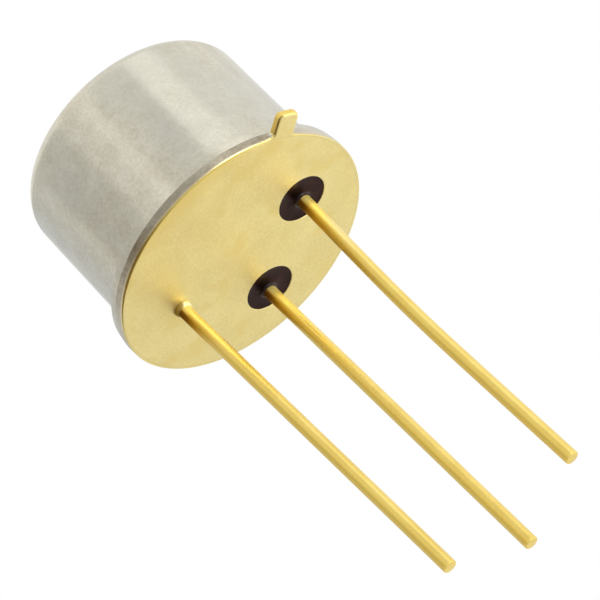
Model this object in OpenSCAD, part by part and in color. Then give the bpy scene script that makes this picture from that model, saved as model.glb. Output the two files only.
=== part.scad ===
// Power transistor in a three-lead metal can.
//
// The origin is the centre of the header's underside, which is the seating plane.
// +Z runs along the can's axis to the closed top, and the leads hang below Z = 0.
// The source lead is on +X, the gate lead on +Y and the drain lead on -X.

/* [Cap] */
// Height from the header's underside to the can's top
overall_h = 6.1; // [4.2:0.05:7]
// Outer diameter of the can
can_d = 8.3; // [8.1:0.05:8.5]
// Sheet thickness of the drawn cap
cap_t = 0.28; // [0.15:0.01:0.3]
// Outer radius where the can's side turns into its top
crown_r = 0.45; // [0.35:0.05:1]
// Outer diameter of the cap's flange
cap_flange_d = 9.14; // [9.1:0.01:9.18]
// Outer radius of the bend between the can's side and its flange
foot_bend_r = 0.12; // [0.05:0.01:0.15]
// Rounding of the cap flange's lower edge, on the side of the seam
cap_lower_edge_r = 0.1; // [0.04:0.01:0.12]
// Rounding of the cap flange's upper edge
cap_upper_edge_r = 0.05; // [0.02:0.01:0.08]

/* [Header] */
// Outer diameter of the header's flange
header_d = 9.2; // [9.18:0.01:9.4]
// Thickness of the header's flange
header_t = 0.27; // [0.24:0.01:0.4]
// Rounding of the header's lower edge
header_edge_r = 0.05; // [0.02:0.01:0.08]
// Rounding of the header's upper edge, which opens the seam under the cap
seam_r = 0.12; // [0.06:0.01:0.14]
// Diameter of the raised platform inside the cap
platform_d = 7.2; // [7:0.05:7.35]
// Height of the platform above the header's underside
platform_h = 1.25; // [0.8:0.05:1.6]
// Width of the chamfer round the platform's top
platform_chamfer = 0.12; // [0.05:0.01:0.2]

/* [Locating tab] */
// Width of the tab
tab_w = 0.81; // [0.71:0.01:0.86]
// Length of the tab beyond the header's edge
tab_l = 0.77; // [0.74:0.01:1.14]
// Direction of the tab, counted from the source lead
tab_angle = -44.8; // [-48:0.1:-42]
// Slant of the tab away from the radius it starts on
tab_slant = -3; // [-5:0.5:5]
// Radius of the tab's two outer corners
tab_corner_r = 0.13; // [0.05:0.01:0.2]

/* [Leads] */
// Diameter of the circle that the three leads stand on
pin_circle_d = 5.08; // [4.9:0.01:5.2]
// Diameter of a lead
lead_d = 0.46; // [0.41:0.01:0.53]
// Length of the gate and drain leads below the header
lead_l = 12.9; // [12.7:0.05:15]
// How much longer the source lead is cut
source_extra_l = 0.1; // [0:0.01:0.3]
// Chamfer at a lead's cut end
end_chamfer = 0.03; // [0.01:0.01:0.06]
// Height of a post above the platform, with its head
post_h = 0.6; // [0.4:0.05:1]
// Diameter of a post's nail head
head_d = 0.8; // [0.6:0.05:1]
// Thickness of a post's nail head
head_t = 0.15; // [0.1:0.01:0.25]

/* [Bends in the leads] */
// Depth below the header at which every lead turns away from upright
first_bend_depth = 0.3; // [0.25:0.05:1]
// Lean of the source lead towards +X below its first bend, in degrees
source_lean = -0.96; // [-2:0.01:-0.5]
// Straight stretch of the source lead above its bow
source_straight = 3.1; // [2:0.1:4]
// Length of wire in the source lead's bow
source_bow_l = 4.6; // [3:0.1:6]
// Angle that the source lead's bow turns through, towards +X
source_bow = 3.05; // [1:0.05:4]
// Number of small turns that make up the bow
bow_turns = 4; // [2:1:8]
// Lean of the gate lead towards +X below its first bend, in degrees
gate_lean = 1.62; // [0.5:0.01:3]
// How far the gate lead sits off its bead's centre, towards -X
gate_off = 0.07; // [0:0.01:0.1]
// Lean of the drain lead towards +X below its first bend, in degrees
drain_lean = 2.38; // [0.5:0.01:3]

/* [Glass seals] */
// Diameter of a glass bead
bead_d = 1.74; // [1.5:0.02:1.8]
// Break of the edge round a bead, on the header's underside
hole_break = 0.03; // [0.01:0.01:0.05]
// Depth of a bead's face below the metal round it
bead_recess = 0.02; // [0.01:0.01:0.05]
// Height of the glass that climbs a lead
meniscus_h = 0.05; // [0.03:0.01:0.08]
// Width of the glass that climbs a lead
meniscus_w = 0.09; // [0.05:0.01:0.15]

/* [Drain weld] */
// Diameter of the shallow dish pressed by the welding
dish_d = 0.86; // [0.8:0.02:1]
// Depth of the dish
dish_depth = 0.03; // [0.02:0.01:0.05]
// Diameter of the weld bead
weld_d = 0.58; // [0.54:0.02:0.7]
// Height of the weld bead below the header's underside
weld_h = 0.12; // [0.08:0.01:0.2]

/* [Die] */
// Side of the square die
die_w = 1.8; // [1.6:0.1:2.2]
// Thickness of the die
die_t = 0.3; // [0.2:0.05:0.4]
// How far the die attach alloy reaches past the die
attach_margin = 0.1; // [0.05:0.05:0.2]
// Thickness of the die attach alloy
attach_t = 0.04; // [0.02:0.01:0.06]
// Side of the source bond pad
source_pad_w = 0.6; // [0.5:0.05:0.6]
// Side of the gate bond pad
gate_pad_w = 0.32; // [0.3:0.02:0.36]
// Thickness of the bond pads
pad_t = 0.02; // [0.01:0.01:0.03]
// Distance from the source pad's centre to the die's centre
source_pad_reach = 0.35; // [0.3:0.05:0.4]
// Distance from the gate pad's centre to the die's centre
gate_pad_reach = 0.55; // [0.5:0.05:0.6]

/* [Bond wires] */
// Diameter of the source bond wire
source_wire_d = 0.2; // [0.1:0.01:0.22]
// Diameter of the gate bond wire
gate_wire_d = 0.1; // [0.05:0.01:0.12]
// Rise of a bond wire above the line between its two feet
wire_loop_h = 0.7; // [0.5:0.05:0.9]
// Length of a wedge foot, in wire diameters
foot_length_ratio = 2.2; // [1.8:0.1:2.6]
// Width of a wedge foot, in wire diameters
foot_width_ratio = 1.35; // [1.2:0.05:1.6]
// Thickness of a wedge foot, in wire diameters
foot_height_ratio = 0.7; // [0.6:0.05:0.9]

/* [Hidden] */
$fn = 96;

over = 0.5;
nickel = [0.74, 0.73, 0.68];
gold = [0.88, 0.76, 0.42];
glass_brown = [0.2, 0.13, 0.12];
silicon = [0.35, 0.37, 0.42];
aluminium = [0.82, 0.83, 0.84];

can_r = can_d / 2;
cap_flange_r = cap_flange_d / 2;
cap_flange_top = header_t + cap_t;
header_r = header_d / 2;
platform_r = platform_d / 2;
pin_r = pin_circle_d / 2;
lead_r = lead_d / 2;
bead_r = bead_d / 2;
post_top = platform_h + post_h;
weld_r = weld_d / 2;

source_at = [pin_r, 0];
gate_at = [0, pin_r];
gate_lead_at = gate_at - [gate_off, 0];
drain_at = [-pin_r, 0];

die_top = platform_h + attach_t + die_t;
pad_top = die_top + pad_t;
source_pad_at = [source_pad_reach, 0];
gate_pad_at = [0, gate_pad_reach];

// Square corner outside a quarter circle, for rounding the outer corner of a profile
module corner_offcut(r) {
    difference() {
        square(r + over);
        circle(r);
    }
}

// Half-profile of a plate of radius r from z0 to z1, with its lower and upper rim rounded
module plate_profile(r, z0, z1, lower_r, upper_r) {
    difference() {
        translate([0, z0]) square([r, z1 - z0]);
        translate([r - upper_r, z1 - upper_r]) corner_offcut(upper_r);
        translate([r - lower_r, z0 + lower_r]) mirror([0, 1]) corner_offcut(lower_r);
    }
}

// Half-profile of a round-cornered plug of radius r that reaches up to height top
module plug_profile(r, bottom, top, corner) {
    difference() {
        translate([0, bottom]) square([r, top - bottom]);
        translate([r - corner, top - corner]) corner_offcut(corner);
    }
}

// Deep-drawn cap: an even sheet that bends out into a flange and closes over a rounded crown
module cap() {
    color(nickel) rotate_extrude() difference() {
        union() {
            plate_profile(cap_flange_r, header_t, cap_flange_top, cap_lower_edge_r, cap_upper_edge_r);
            plug_profile(can_r, header_t, overall_h, crown_r);
            translate([0, header_t]) difference() {
                square([can_r + foot_bend_r, cap_t + foot_bend_r]);
                translate([can_r + foot_bend_r, cap_t + foot_bend_r]) circle(foot_bend_r);
            }
        }
        translate([0, header_t - over]) square([can_r - cap_t, over + foot_bend_r + cap_t]);
        plug_profile(can_r - cap_t, header_t, overall_h - cap_t, crown_r - cap_t);
        cap_mouth_profile();
    }
}

// Flared mouth inside the cap's flange, concentric with the bend outside it
module cap_mouth_profile() {
    bend = foot_bend_r + cap_t;
    translate([can_r - cap_t, header_t - over]) difference() {
        square([bend, bend + over]);
        translate([bend, bend + over]) circle(bend);
    }
}

// Header: a flange with a raised platform, its locating tab, two seal holes and the weld's dish
module header() {
    color(gold) difference() {
        union() {
            rotate_extrude() {
                plate_profile(header_r, 0, header_t, header_edge_r, seam_r);
                polygon([
                    [0, 0], [platform_r, 0], [platform_r, platform_h - platform_chamfer],
                    [platform_r - platform_chamfer, platform_h], [0, platform_h]
                ]);
            }
            locating_tab();
        }
        for (at = [source_at, gate_at]) translate(at) {
            translate([0, 0, -over]) cylinder(r = bead_r, h = platform_h + 2 * over);
            translate([0, 0, hole_break - over])
                cylinder(r1 = bead_r + over, r2 = bead_r, h = over);
        }
        weld_dish();
    }
}

// Tab stamped in one piece with the header's flange, as thick as the flange
module locating_tab() {
    rotate(tab_angle) translate([header_r, 0]) rotate(tab_slant)
        translate([-tab_l, -tab_w / 2]) linear_extrude(header_t) difference() {
            square([2 * tab_l, tab_w]);
            translate([2 * tab_l - tab_corner_r, tab_w - tab_corner_r]) corner_offcut(tab_corner_r);
            translate([2 * tab_l - tab_corner_r, tab_corner_r])
                mirror([0, 1]) corner_offcut(tab_corner_r);
        }
}

// Shallow spherical dish round the drain lead's weld
module weld_dish() {
    dish_r = dish_d / 2;
    ball_r = (dish_r * dish_r + dish_depth * dish_depth) / (2 * dish_depth);
    translate([drain_at.x, drain_at.y, dish_depth - ball_r]) sphere(ball_r);
}

// Glass bead that fills a seal hole and climbs the lead a little on both faces
module seal(hole_at, lead_at) {
    color(glass_brown) difference() {
        union() {
            translate([hole_at.x, hole_at.y, bead_recess])
                cylinder(r = bead_r, h = platform_h - 2 * bead_recess);
            translate([lead_at.x, lead_at.y, bead_recess]) mirror([0, 0, 1]) meniscus();
            translate([lead_at.x, lead_at.y, platform_h - bead_recess]) meniscus();
        }
        translate([lead_at.x, lead_at.y, -over]) cylinder(r = lead_r, h = platform_h + 2 * over);
    }
}

// Sloping ring of glass round a lead, drawn as it stands on the bead's upper face
module meniscus() {
    cylinder(r1 = lead_r + meniscus_w, r2 = lead_r, h = meniscus_h);
}

module source_seal() {
    seal(source_at, source_at);
}

module gate_seal() {
    seal(gate_at, gate_lead_at);
}

// Total length of the stretches in a path
function path_length(path, i = 0) = i < len(path) ? path[i][0] + path_length(path, i + 1) : 0;

// Adds the last stretch, so that the wire and its chamfered end come to the full length
function cut_to(length, path) = concat(path, [[length - end_chamfer - path_length(path), 0]]);

// Wire that hangs down from here in straight stretches, mitred where they meet. Each entry of
// path is a stretch's length and the turn towards +X, in degrees, at its lower end.
module hanging_wire(path, turn_above = 0, i = 0) {
    length = path[i][0];
    turn_below = path[i][1];
    difference() {
        translate([0, 0, -length - over]) cylinder(r = lead_r, h = length + 2 * over);
        rotate([0, turn_above / 2, 0]) mitre_cutter();
        translate([0, 0, -length]) rotate([0, -turn_below / 2, 0]) mirror([0, 0, 1]) mitre_cutter();
    }
    translate([0, 0, -length]) {
        if (i + 1 < len(path)) rotate([0, -turn_below, 0]) hanging_wire(path, turn_below, i + 1);
        else mirror([0, 0, 1]) cylinder(r1 = lead_r, r2 = lead_r - end_chamfer, h = end_chamfer);
    }
}

// Block that cuts the wire off above Z = 0
module mitre_cutter() {
    translate([-over, -over, 0]) cube(2 * over);
}

// Post inside the cap: wire through the bead and the nail head for the bond wire
module post() {
    cylinder(r = lead_r, h = post_top);
    translate([0, 0, post_top - head_t]) cylinder(r = head_d / 2, h = head_t);
}

module source_lead() {
    bow_step = source_bow_l / bow_turns;
    bow_turn = [bow_step, source_bow / bow_turns];
    color(gold) translate(source_at) {
        post();
        hanging_wire(cut_to(lead_l + source_extra_l, concat(
            [[first_bend_depth, source_lean]],
            [[source_straight + bow_step / 2, bow_turn[1]]],
            [for (k = [2:bow_turns]) bow_turn]
        )));
    }
}

module gate_lead() {
    color(gold) translate(gate_lead_at) {
        post();
        hanging_wire(cut_to(lead_l, [[first_bend_depth, gate_lean]]));
    }
}

// The drain lead is butt-welded under the header, so it starts at the weld bead
module drain_lead() {
    color(gold) translate([drain_at.x, drain_at.y, -weld_h])
        hanging_wire(cut_to(lead_l - weld_h, [[first_bend_depth - weld_h, drain_lean]]));
}

// Bead of metal squeezed out between the drain lead's end and the header
module drain_weld() {
    bulge = weld_r - lead_r;
    color(gold) translate([drain_at.x, drain_at.y, 0]) difference() {
        rotate_extrude() {
            translate([0, -weld_h]) square([lead_r, weld_h + over]);
            translate([lead_r, -weld_h + bulge]) circle(bulge);
            translate([0, -weld_h + bulge]) square([weld_r, weld_h - bulge + over]);
        }
        translate([-drain_at.x, -drain_at.y, 0]) difference() {
            translate([drain_at.x, drain_at.y, 0]) cylinder(r = weld_r + over, h = 2 * over);
            weld_dish();
        }
    }
}

module die_attach() {
    side = die_w + 2 * attach_margin;
    color(gold) translate([-side / 2, -side / 2, platform_h]) cube([side, side, attach_t]);
}

module die() {
    color(silicon) translate([-die_w / 2, -die_w / 2, platform_h + attach_t])
        cube([die_w, die_w, die_t]);
}

// Square metal pad on the die for a bond wire's foot
module bond_pad(at, side) {
    color(aluminium) translate([at.x - side / 2, at.y - side / 2, die_top])
        cube([side, side, pad_t]);
}

module source_pad() {
    bond_pad(source_pad_at, source_pad_w);
}

module gate_pad() {
    bond_pad(gate_pad_at, gate_pad_w);
}

// Wedge-bonded wire: an arc between two flattened feet, from a pad to a post's head
module bond_wire(from, to, wire_d) {
    run = norm(to - from);
    rise = post_top - pad_top;
    chord = norm([run, rise]);
    arc_r = (chord * chord / 4 + wire_loop_h * wire_loop_h) / (2 * wire_loop_h);
    half_angle = asin(chord / 2 / arc_r);
    heading = atan2(to.y - from.y, to.x - from.x);
    middle = (from + to) / 2;
    color(aluminium) {
        translate([middle.x, middle.y, (pad_top + post_top + wire_d) / 2])
            rotate([0, -atan2(rise, run), heading]) translate([0, 0, wire_loop_h - arc_r])
            rotate([90, 0, 0]) rotate(90 - half_angle)
            rotate_extrude(angle = 2 * half_angle) translate([arc_r, 0]) circle(d = wire_d);
        translate([from.x, from.y, pad_top]) rotate(heading) wedge_foot(wire_d);
        translate([to.x, to.y, post_top]) rotate(heading) wedge_foot(wire_d);
    }
}

// Flattened end of a bond wire
module wedge_foot(wire_d) {
    foot = [foot_length_ratio, foot_width_ratio, foot_height_ratio] * wire_d;
    translate([-foot.x / 2, -foot.y / 2, 0]) cube(foot);
}

module source_wire() {
    bond_wire(source_pad_at, source_at, source_wire_d);
}

module gate_wire() {
    bond_wire(gate_pad_at, gate_lead_at, gate_wire_d);
}

cap();
header();
source_seal();
gate_seal();
source_lead();
gate_lead();
drain_lead();
drain_weld();
die_attach();
die();
source_pad();
gate_pad();
source_wire();
gate_wire();
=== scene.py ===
"""Looks of a three-lead transistor in a metal can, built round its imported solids.

Sizes are in millimetres and angles in degrees. Meshes are made in millimetres, in the frame of the
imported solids, and turned to metres when they are put into the scene. The can stands on the upper
side of the header, and the leads hang below its underside, which is at height 0.
"""

from __future__ import annotations

import logging
import math
from abc import ABC, abstractmethod
from dataclasses import dataclass
from enum import Enum
from typing import Any

import bmesh
import bpy
import numpy as np
from mathutils import Matrix, Vector
from mathutils.geometry import delaunay_2d_cdt


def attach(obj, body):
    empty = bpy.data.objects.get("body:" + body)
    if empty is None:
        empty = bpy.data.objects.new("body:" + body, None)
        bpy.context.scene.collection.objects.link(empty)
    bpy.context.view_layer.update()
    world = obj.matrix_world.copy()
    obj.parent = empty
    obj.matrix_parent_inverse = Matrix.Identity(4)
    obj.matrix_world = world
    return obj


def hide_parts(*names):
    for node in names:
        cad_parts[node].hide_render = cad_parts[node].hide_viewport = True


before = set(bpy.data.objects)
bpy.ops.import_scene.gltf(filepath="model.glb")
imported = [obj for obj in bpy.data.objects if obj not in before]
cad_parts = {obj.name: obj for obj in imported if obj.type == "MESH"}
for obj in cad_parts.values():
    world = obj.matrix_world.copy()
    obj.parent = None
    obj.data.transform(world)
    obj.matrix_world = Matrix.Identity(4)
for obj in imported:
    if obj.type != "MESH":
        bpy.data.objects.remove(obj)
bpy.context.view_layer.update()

log = logging.getLogger("scene")

MM = 0.001
BODY = "root"
SHARP_EDGE = 35.0
MERGE_GAP = 1e-4
SLIVER = 1e-5
Pair = tuple[float, float]
Point = tuple[float, float, float]
Colour = tuple[float, float, float]

# Sizes and places that more than one piece shares.
HEADER_RADIUS = 4.60
CAP_RADIUS = 4.15
PLATE_THICKNESS = 0.27
HOLE_RADIUS = 0.87
LEAD_RADIUS = 0.23
DISH_RADIUS = 0.43
DISH_DEPTH = 0.03
LEAD_RING = 2.54
SOURCE_AT = (LEAD_RING, 0.0)
GATE_HOLE_AT = (0.0, LEAD_RING)
GATE_AT = (-0.07, LEAD_RING)
DRAIN_AT = (-LEAD_RING, 0.0)


class Slot(Enum):
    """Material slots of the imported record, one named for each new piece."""

    NICKEL = "nickel"
    GOLD = "gold"
    LEAD_GOLD = "lead_gold"
    WELD_GOLD = "weld_gold"
    SEAL_GLASS = "seal_glass"


class Facing(Enum):
    """Which way a level face looks."""

    UP = 1
    DOWN = -1


class Measure(Enum):
    """What bounds a layer of a finish."""

    HEIGHT = "height above the header's underside"
    REACH = "distance from the header's axis"
    WORN_SIDE = "distance from the axis towards the worn side"
    CREASE_SIDE = "distance from the axis towards the tab's creased side"
    # Distance from the spot beside the tab's root that is painted with a glint.
    PAINTED_GLINT_SPOT = "distance from the rubbed spot"
    FACING = "how squarely the surface faces the amber side"
    STAINS = "slow clouds"
    SCUFFS = "small clouds"


# ---------------------------------------------------------------- shader maths


class Wire:
    """One output socket of a node, which can be added, subtracted and multiplied like a number."""

    def __init__(self, desk: Desk, socket: bpy.types.NodeSocket) -> None:
        """Keeps the socket and the desk that its node stands on."""
        self.desk = desk
        self.socket = socket

    def _math(self, operation: str, *values: Wire | float) -> Wire:
        """Feeds values to a Math node in order and hands back its result."""
        return self.desk.node("ShaderNodeMath", {"operation": operation}, dict(enumerate(values)))

    def __add__(self, other: Wire | float) -> Wire:
        """Sum."""
        return self._math("ADD", self, other)

    def __radd__(self, other: float) -> Wire:
        """Sum with the number first."""
        return self._math("ADD", other, self)

    def __sub__(self, other: Wire | float) -> Wire:
        """Difference."""
        return self._math("SUBTRACT", self, other)

    def __rsub__(self, other: float) -> Wire:
        """Difference with the number first."""
        return self._math("SUBTRACT", other, self)

    def __mul__(self, other: Wire | float) -> Wire:
        """Product."""
        return self._math("MULTIPLY", self, other)

    def __rmul__(self, other: float) -> Wire:
        """Product with the number first."""
        return self._math("MULTIPLY", other, self)

    def greater(self, other: Wire) -> Wire:
        """The greater of two values."""
        return self._math("MAXIMUM", self, other)

    def step(self, low: float, high: float) -> Wire:
        """Rises smoothly from 0 at low to 1 at high, or falls where high is the lesser.

        Args:
            low: Value at which the result is 0.
            high: Value at which the result is 1.

        Returns:
            The smoothed step.
        """
        least, most = sorted((low, high))
        settings = {"interpolation_type": "SMOOTHSTEP"}
        rise = self.desk.node("ShaderNodeMapRange", settings, {0: self, 1: least, 2: most})
        return rise if low < high else 1.0 - rise


class Desk:
    """A node tree with one way to set a node on it."""

    def __init__(self, tree: bpy.types.NodeTree) -> None:
        """Clears the tree and keeps it."""
        self.tree = tree
        tree.nodes.clear()

    def node(
        self,
        kind: str,
        settings: dict[str, Any] | None = None,
        inputs: dict[int | str, Any] | None = None,
        output: int | str = 0,
    ) -> Wire:
        """Makes a node.

        Args:
            kind: The node's type.
            settings: The node's own settings, set first.
            inputs: A value or a Wire for each named or numbered input socket.
            output: The output socket that is handed back.

        Returns:
            The chosen output socket.
        """
        made = self.tree.nodes.new(kind)
        for name, value in (settings or {}).items():
            setattr(made, name, value)
        for name, value in (inputs or {}).items():
            if isinstance(value, Wire):
                self.tree.links.new(value.socket, made.inputs[name])
            else:
                made.inputs[name].default_value = value
        return Wire(self, made.outputs[output])

    def close(self, shader: Wire, kind: str = "ShaderNodeOutputMaterial") -> None:
        """Joins the finished shader to the tree's output."""
        end = self.tree.nodes.new(kind)
        self.tree.links.new(shader.socket, end.inputs["Surface"])

    def coat(self, inputs: dict[str, Any]) -> None:
        """Closes the tree with a surface that has these inputs."""
        self.close(self.node("ShaderNodeBsdfPrincipled", {}, inputs))

    def metal(self, colour: Wire, roughness: Wire, normal: Wire) -> None:
        """Closes the tree with bare metal of this colour, roughness and normal."""
        inputs = {"Base Color": colour, "Roughness": roughness, "Normal": normal}
        self.coat({**inputs, "Metallic": 1.0})

    def place(self) -> Wire:
        """Position on the object, in millimetres."""
        inputs = {0: self.node("ShaderNodeTexCoord", output="Object"), "Scale": 1.0 / MM}
        return self.node("ShaderNodeVectorMath", {"operation": "SCALE"}, inputs)

    def vector(self, operation: str, *values: Wire | Point, output: str = "Vector") -> Wire:
        """Feeds positions to a Vector Math node in order and hands back its result."""
        settings = {"operation": operation}
        return self.node("ShaderNodeVectorMath", settings, dict(enumerate(values)), output)

    def number(self, operation: str, *values: Wire | Point) -> Wire:
        """Does the Vector Math that turns positions into one number."""
        return self.vector(operation, *values, output="Value")

    def height(self, place: Wire) -> Wire:
        """Height of a position."""
        return self.node("ShaderNodeSeparateXYZ", {}, {0: place}, "Z")

    def stretch(self, place: Wire, by: Point) -> Wire:
        """Multiplies each part of a position by its own number."""
        return self.vector("MULTIPLY", place, by)

    def flat(self, place: Wire) -> Wire:
        """Position brought down to height 0."""
        return self.stretch(place, (1.0, 1.0, 0.0))

    def noise(self, place: Wire, per_mm: float, detail: float = 3.0, rough: float = 0.5) -> Wire:
        """Cloudy noise.

        Args:
            place: Position in millimetres.
            per_mm: Number of clouds in a millimetre.
            detail: Number of finer layers.
            rough: Share of the finer layers.

        Returns:
            A value about 0.5.
        """
        inputs = {"Vector": place, "Scale": per_mm, "Detail": detail, "Roughness": rough}
        return self.node("ShaderNodeTexNoise", {}, inputs)

    def blend(self, share: Wire | float, first: Any, second: Any) -> Wire:
        """Mixes two colours by a share of the second."""
        inputs = {0: share, 6: self._rgba(first), 7: self._rgba(second)}
        return self.node("ShaderNodeMix", {"data_type": "RGBA"}, inputs, 2)

    @staticmethod
    def _rgba(colour: Any) -> Any:
        """Adds the fourth number to a plain colour and leaves a Wire as it is."""
        return colour if isinstance(colour, Wire) else (*colour, 1.0)

    def seen(self) -> Wire:
        """Finds the rays from the camera and from shiny and clear surfaces.

        Returns:
            Their mask.
        """
        rays = ("Is Camera Ray", "Is Glossy Ray", "Is Transmission Ray")
        straight, shiny, clear = (self.node("ShaderNodeLightPath", output=ray) for ray in rays)
        return straight.greater(shiny).greater(clear)

    def bump(self, height: Wire, rise: float) -> Wire:
        """Turns a height from 0 to 1 into a normal, where 1 stands for a rise in millimetres."""
        return self.node("ShaderNodeBump", {}, {"Height": height, "Distance": rise * MM})

    def scratch(self, place: Wire, start: Point, end: Point, width: float) -> Wire:
        """Mask that is 1 on a straight scratch and fades to 0 at its sides and ends.

        The distance from the scratch is the length of the cross product of its direction with
        the offset from its start, and the way along it is their dot product.

        Args:
            place: Position in millimetres.
            start: Where the scratch starts.
            end: Where it ends.
            width: Its half-width.

        Returns:
            The mask.
        """
        track = np.array(end) - np.array(start)
        length = float(np.linalg.norm(track))
        way = tuple(track / length)
        offset = self.vector("SUBTRACT", place, start)
        gap = self.number("LENGTH", self.vector("CROSS_PRODUCT", offset, way))
        run = self.number("DOT_PRODUCT", offset, way)
        fade = 0.2 * length
        return gap.step(width, 0.0) * (run.step(0.0, fade) * run.step(length, length - fade))


Band = tuple[Measure, float, float]


def mask(measures: dict[Measure, Wire], bands: tuple[Band, ...], share: float = 1.0) -> Wire:
    """Share times the smooth step of every band.

    Args:
        measures: A value for each measure that the bands name.
        bands: Measures with the values at which they hide and show all.
        share: The mask's greatest value.

    Returns:
        The mask.
    """
    return math.prod((measures[name].step(low, high) for name, low, high in bands), start=share)


@dataclass(frozen=True)
class Layer:
    """A tint that lies over others where all its bands show it."""

    colour: Colour
    share: float
    bands: tuple[Band, ...]


def cover(base: Wire, measures: dict[Measure, Wire], layers: tuple[Layer, ...]) -> Wire:
    """Lays layers over a colour, one after the other.

    Args:
        base: The colour.
        measures: A value for each measure that the layers name.
        layers: The layers, lowest first.

    Returns:
        The colour with its layers.
    """
    for layer in layers:
        base = base.desk.blend(mask(measures, layer.bands, layer.share), base, layer.colour)
    return base


# ---------------------------------------------------------------- finishes

# What a cloudy and a grainy noise nearly all lie between.
CLOUD_SPREAD = (0.3, 0.7)
GRAIN_SPREAD = (0.28, 0.72)


@dataclass(frozen=True)
class Finish(ABC):
    """A surface finish, drawn as a node material."""

    name: str

    def material(self) -> bpy.types.Material:
        """Makes the material, or finds the one already made under this name.

        Returns:
            The material.
        """
        made = bpy.data.materials.get(self.name)
        if made is None:
            made = bpy.data.materials.new(self.name)
            made.use_nodes = True
            self.draw(Desk(made.node_tree))
        return made

    @abstractmethod
    def draw(self, desk: Desk) -> None:
        """Sets the finish's nodes on a desk."""


@dataclass(frozen=True)
class SatinNickel(Finish):
    """Nickel plate over a drawn can: cloudy, fine-grained, with cool stains and bare marks.

    Each mark holds the azimuth and height of its two ends, and its half-width.
    """

    light: Colour = (0.745, 0.712, 0.590)
    dark: Colour = (0.565, 0.520, 0.405)
    cool: Colour = (0.600, 0.605, 0.540)
    bare: Colour = (0.86, 0.85, 0.78)
    roughness: float = 0.18
    sheen: float = 0.06
    cloud_per_mm: float = 1.3
    grain_per_mm: float = 9.0
    grain_rise: float = 0.0005
    stain_per_mm: float = 0.33
    stain_spread: Pair = (0.45, 0.65)
    stain_share: float = 0.45
    mark_share: float = 0.16
    marks: tuple[tuple[Pair, Pair, float], ...] = (
        ((261.0, 4.91), (261.0, 3.40), 0.045),
        ((261.0, 3.75), (257.8, 1.29), 0.045),
        ((215.3, 4.39), (217.5, 2.61), 0.050),
        ((222.7, 5.29), (211.8, 4.07), 0.050),
        ((279.3, 1.13), (287.4, 1.16), 0.040),
        ((253.5, 5.62), (253.5, 5.54), 0.045),
    )

    @staticmethod
    def on_wall(azimuth: float, height: float) -> Point:
        """Point of the can's wall: its radius times the cosine and sine of the azimuth."""
        way = math.radians(azimuth)
        return CAP_RADIUS * math.cos(way), CAP_RADIUS * math.sin(way), height

    def draw(self, desk: Desk) -> None:
        """Tints the plate by clouds and grain, cools it in stains and bares it in marks.

        Args:
            desk: Where the nodes go.
        """
        place = desk.place()
        clouds = desk.noise(place, self.cloud_per_mm, detail=7.0, rough=0.72)
        grain = desk.noise(place, self.grain_per_mm, rough=0.7)
        stains = desk.noise(desk.stretch(place, (1.0, 1.0, 0.5)), self.stain_per_mm)
        tint = clouds.step(*CLOUD_SPREAD) * 0.5 + grain.step(*GRAIN_SPREAD) * 0.5
        base = desk.blend(tint, self.dark, self.light)
        base = desk.blend(stains.step(*self.stain_spread) * self.stain_share, base, self.cool)
        for start, end, width in self.marks:
            scratch = desk.scratch(place, self.on_wall(*start), self.on_wall(*end), width)
            base = desk.blend(scratch * self.mark_share, base, self.bare)
        roughness = self.roughness + clouds * self.sheen
        desk.metal(base, roughness, desk.bump(grain, self.grain_rise))


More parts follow.
